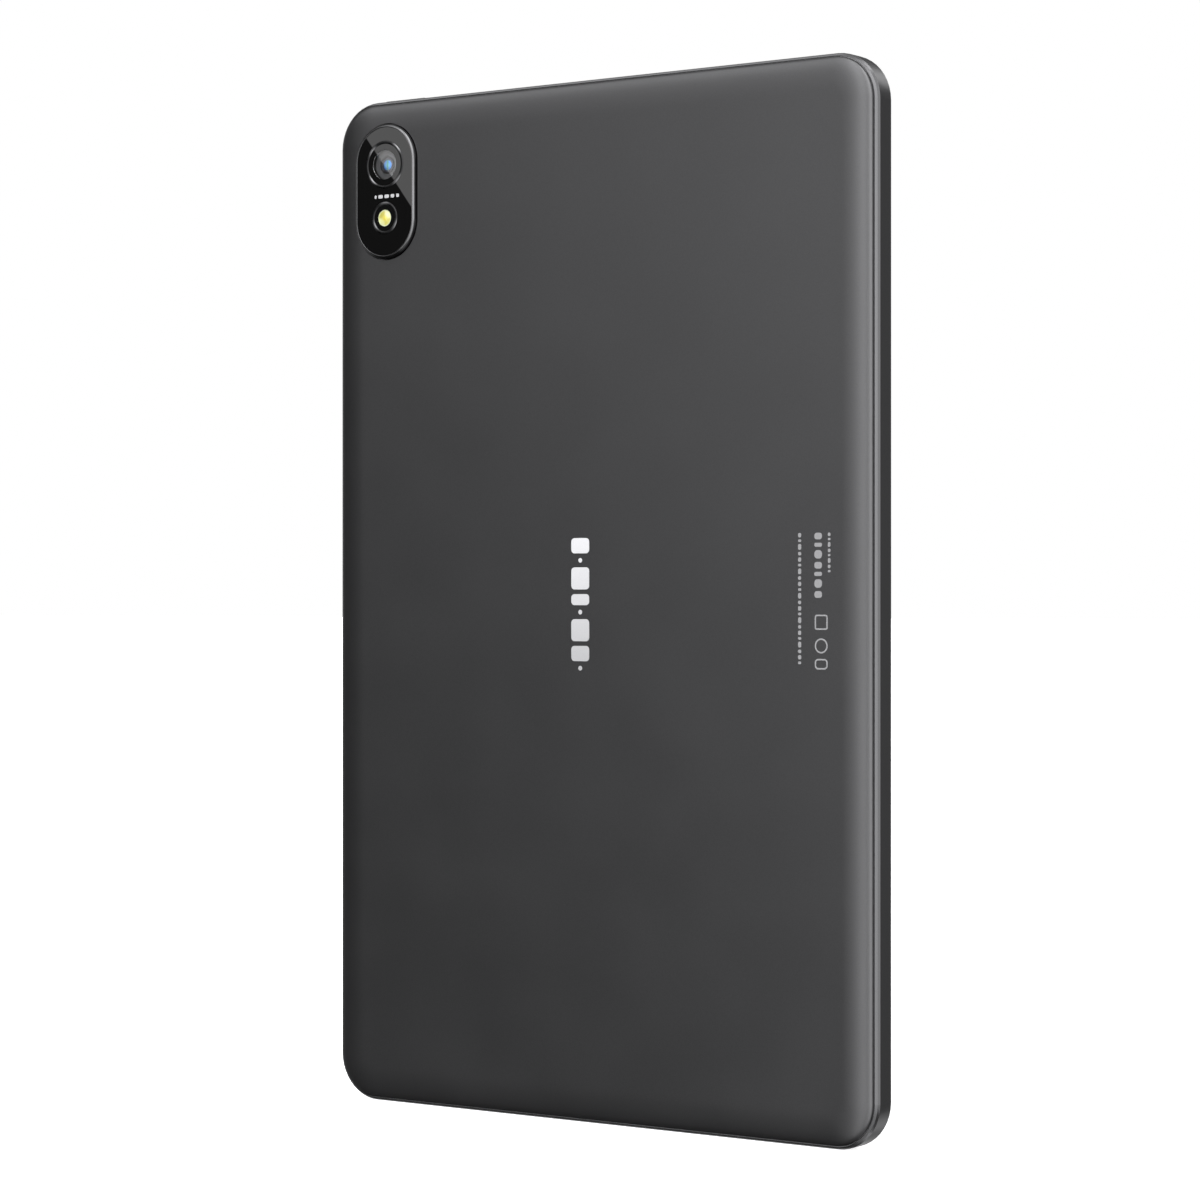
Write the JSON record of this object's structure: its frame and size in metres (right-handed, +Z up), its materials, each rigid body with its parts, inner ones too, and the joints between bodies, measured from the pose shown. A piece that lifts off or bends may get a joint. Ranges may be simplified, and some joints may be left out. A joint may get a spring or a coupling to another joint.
{
  "type": "tablet computer",
  "caption": "Slim portrait tablet with a curved-edge rear cover, a pill-shaped rear camera island, edge keys, a card tray and a charging port.",
  "frame": {"origin": "middle of the short bottom edge, halfway through the thickness of the flat body", "axes": "+Z up along the long side, screen facing -Y, rear cover and camera island facing +Y, camera island on the +X side"},
  "size_m": [0.1553, 0.0088, 0.2463],
  "materials": {
    "cover_metal": "fine bead-blasted dark grey anodising",
    "frame_metal": "satin dark grey anodising with a bright cut chamfer",
    "plate_metal": "plain stamped sheet",
    "key_metal": "satin dark grey anodising",
    "bezel_metal": "satin turned rim",
    "trim_metal": "dark polished",
    "steel": "bare sheet steel",
    "screen_glass": "clear glass over a black printed border",
    "window_glass": "clear glass with black print behind it",
    "lens_glass": "coated",
    "screen_cell": "dark, switched off",
    "backlight": "white light guide in a steel tray",
    "black_plastic": "moulded, fine texture",
    "lens_plastic": "smooth dark grey",
    "yellow_diffuser": "pale yellow flash lens",
    "led": "phosphor-coated chip on a white board",
    "board": "green solder resist",
    "chip": "black moulded packages",
    "ribbon": "amber film with copper tracks",
    "foam": "closed-cell foam",
    "seal_rubber": "soft black silicone",
    "pouch": "laminated pouch film",
    "tape": "white stretch-release tape",
    "graphite": "black graphite film",
    "gold": "gold plated",
    "mesh": "fine black wire mesh"
  },
  "bodies": {
    "tablet_body": {"rear_cover": "cover_metal", "side_frame": "frame_metal", "mid_plate": "plate_metal", "cover_glass": "screen_glass", "display_adhesive": "foam", "display_panel": "screen_cell", "backlight_unit": "backlight", "display_flex": "ribbon", "front_camera": "black_plastic", "camera_bezel": "bezel_metal", "camera_window": "window_glass", "lens_trim_ring": "trim_metal", "flash_trim_ring": "trim_metal", "flash_diffuser": "yellow_diffuser", "flash_led": "led", "rear_camera_housing": "black_plastic", "rear_camera_sensor": "chip", "rear_camera_flex": "ribbon", "camera_gasket": "foam", "power_key_dome": "steel", "power_key_flex": "ribbon", "power_key_bracket": "steel", "volume_domes": "steel", "volume_key_flex": "ribbon", "volume_key_bracket": "steel", "rocker_pin": "steel", "card_reader_shell": "steel", "lever_pin": "steel", "usb_shell": "steel", "usb_tongue": "black_plastic", "usb_contacts": "gold", "main_board": "board", "sub_board": "board", "board_chips": "chip", "shield_cans": "steel", "board_link_flex": "ribbon", "screws": "steel", "battery_cells": "pouch", "battery_protection_board": "board", "battery_adhesive": "tape", "graphite_sheet": "graphite", "speaker_meshes": "mesh", "microphones": "steel", "wifi_antennas": "black_plastic", "speaker_box_top_right": "black_plastic", "speaker_box_bottom_right": "black_plastic", "speaker_box_top_left": "black_plastic", "speaker_box_bottom_left": "black_plastic"},
    "power_key": {"power_key": "key_metal"},
    "volume_rocker": {"volume_rocker": "key_metal"},
    "card_tray": {"card_tray": "key_metal", "tray_seal": "seal_rubber"},
    "eject_rod": {"eject_rod": "steel"},
    "eject_lever": {"eject_lever": "steel"},
    "lens_barrel": {"lens_barrel": "lens_plastic", "rear_camera_lens": "lens_glass"},
    "speaker_diaphragm_top_right": {"speaker_diaphragm_top_right": "black_plastic"},
    "speaker_diaphragm_bottom_right": {"speaker_diaphragm_bottom_right": "black_plastic"},
    "speaker_diaphragm_top_left": {"speaker_diaphragm_top_left": "black_plastic"},
    "speaker_diaphragm_bottom_left": {"speaker_diaphragm_bottom_left": "black_plastic"}
  },
  "joints": [
    {"name": "power_key_press", "type": "slide", "parent": "tablet_body", "child": "power_key", "axis": [0, 0, -1], "range_m": [0, 0.0002], "stiffness_N_per_m": 400, "springref_m": -0.0002, "deforming": ["power_key_dome"]},
    {"name": "volume_rock", "type": "hinge", "parent": "tablet_body", "child": "volume_rocker", "pos_m": [0.07465, -0.0005, 0.205], "axis": [0, 1, 0], "range_deg": [-1.1, 1.1], "stiffness_Nm_per_rad": 0.05, "deforming": ["volume_domes"]},
    {"name": "card_tray_slide", "type": "slide", "parent": "tablet_body", "child": "card_tray", "axis": [1, 0, 0], "range_m": [0, 0.022]},
    {"name": "eject_rod_slide", "type": "slide", "parent": "tablet_body", "child": "eject_rod", "axis": [-1, 0, 0], "range_m": [0, 0.0016]},
    {"name": "eject_lever_turn", "type": "hinge", "parent": "tablet_body", "child": "eject_lever", "pos_m": [0.0485, 0.0008, 0.041], "axis": [0, -1, 0], "range_deg": [0, 15.2]},
    {"name": "lens_focus", "type": "slide", "parent": "tablet_body", "child": "lens_barrel", "axis": [0, 1, 0], "range_m": [0, 0.00025], "stiffness_N_per_m": 60},
    {"name": "speaker_cone_top_right", "type": "slide", "parent": "tablet_body", "child": "speaker_diaphragm_top_right", "axis": [0, 1, 0], "range_m": [-0.0003, 0.0003], "stiffness_N_per_m": 400},
    {"name": "speaker_cone_bottom_right", "type": "slide", "parent": "tablet_body", "child": "speaker_diaphragm_bottom_right", "axis": [0, 1, 0], "range_m": [-0.0003, 0.0003], "stiffness_N_per_m": 400},
    {"name": "speaker_cone_top_left", "type": "slide", "parent": "tablet_body", "child": "speaker_diaphragm_top_left", "axis": [0, 1, 0], "range_m": [-0.0003, 0.0003], "stiffness_N_per_m": 400},
    {"name": "speaker_cone_bottom_left", "type": "slide", "parent": "tablet_body", "child": "speaker_diaphragm_bottom_left", "axis": [0, 1, 0], "range_m": [-0.0003, 0.0003], "stiffness_N_per_m": 400}
  ],
  "couplings": [
    {"joint": "eject_rod_slide", "follows": "card_tray_slide", "ratio": 0.07},
    {"joint": "eject_lever_turn", "follows": "card_tray_slide", "rad_per_m": 11.8}
  ]
}
